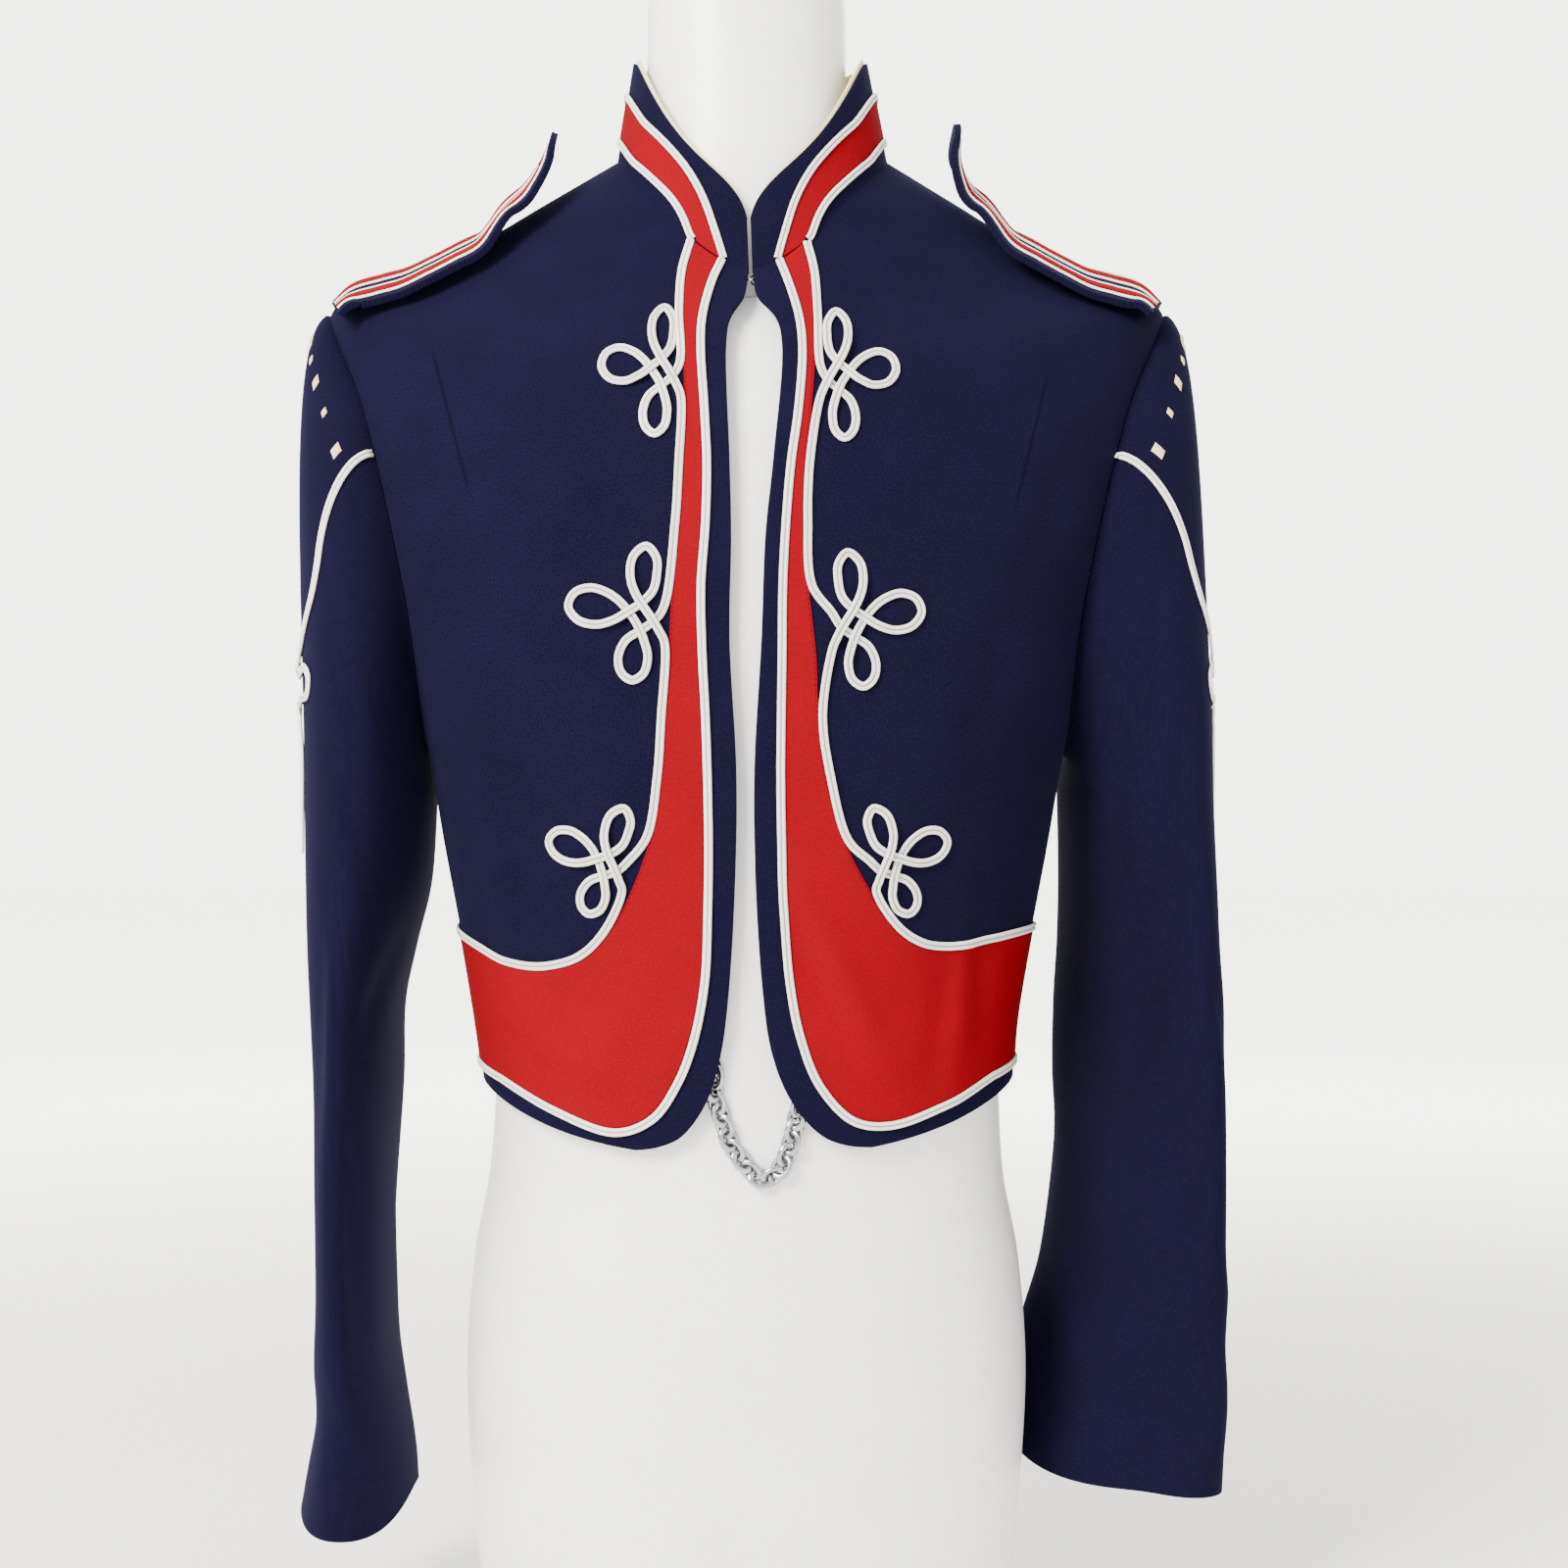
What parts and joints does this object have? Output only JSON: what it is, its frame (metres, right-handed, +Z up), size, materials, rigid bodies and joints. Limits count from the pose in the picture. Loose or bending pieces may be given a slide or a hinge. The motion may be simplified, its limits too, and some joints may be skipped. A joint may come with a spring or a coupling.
{
  "type": "marching band jacket on a dress form",
  "caption": "Waist-length band jacket with red panels, looped white braid, stand collar and shoulder straps, on a limbless dress form.",
  "frame": {"origin": "middle of the bounding box in x and y, underside of the dress form at z 0", "axes": "+Z up the body, the front of the jacket faces -Y, +X is the wearer's left"},
  "size_m": [0.4792, 0.2424, 0.869],
  "materials": {
    "navy_wool": "dense napped wool, matte",
    "red_cloth": "fine wool cloth, matte",
    "cream_braid": "soutache braid, soft sheen",
    "lining_cream": "plain cotton",
    "form_white": "smooth satin",
    "silver_metal": "polished"
  },
  "bodies": {
    "root": {"front_right": "navy_wool", "front_left": "navy_wool", "back": "navy_wool", "red_panel_right": "red_cloth", "red_panel_left": "red_cloth", "braid_inner": "cream_braid", "braid_outer": "cream_braid", "red_waistband_back": "red_cloth", "collar": "navy_wool", "collar_lining": "lining_cream", "collar_braid_high": "cream_braid", "collar_braid_low": "cream_braid", "collar_red": "red_cloth", "strap_right": "navy_wool", "strap_braid_outer_right": "cream_braid", "strap_red_right": "red_cloth", "strap_braid_inner_right": "cream_braid", "strap_left": "navy_wool", "strap_braid_outer_left": "cream_braid", "strap_red_left": "red_cloth", "strap_braid_inner_left": "cream_braid", "sleeve_right": "navy_wool", "sleeve_braid_right": "cream_braid", "sleeve_left": "navy_wool", "sleeve_braid_left": "cream_braid", "dress_form": "form_white", "chain": "silver_metal", "eye": "silver_metal", "hook": "silver_metal"}
  },
  "joints": []
}
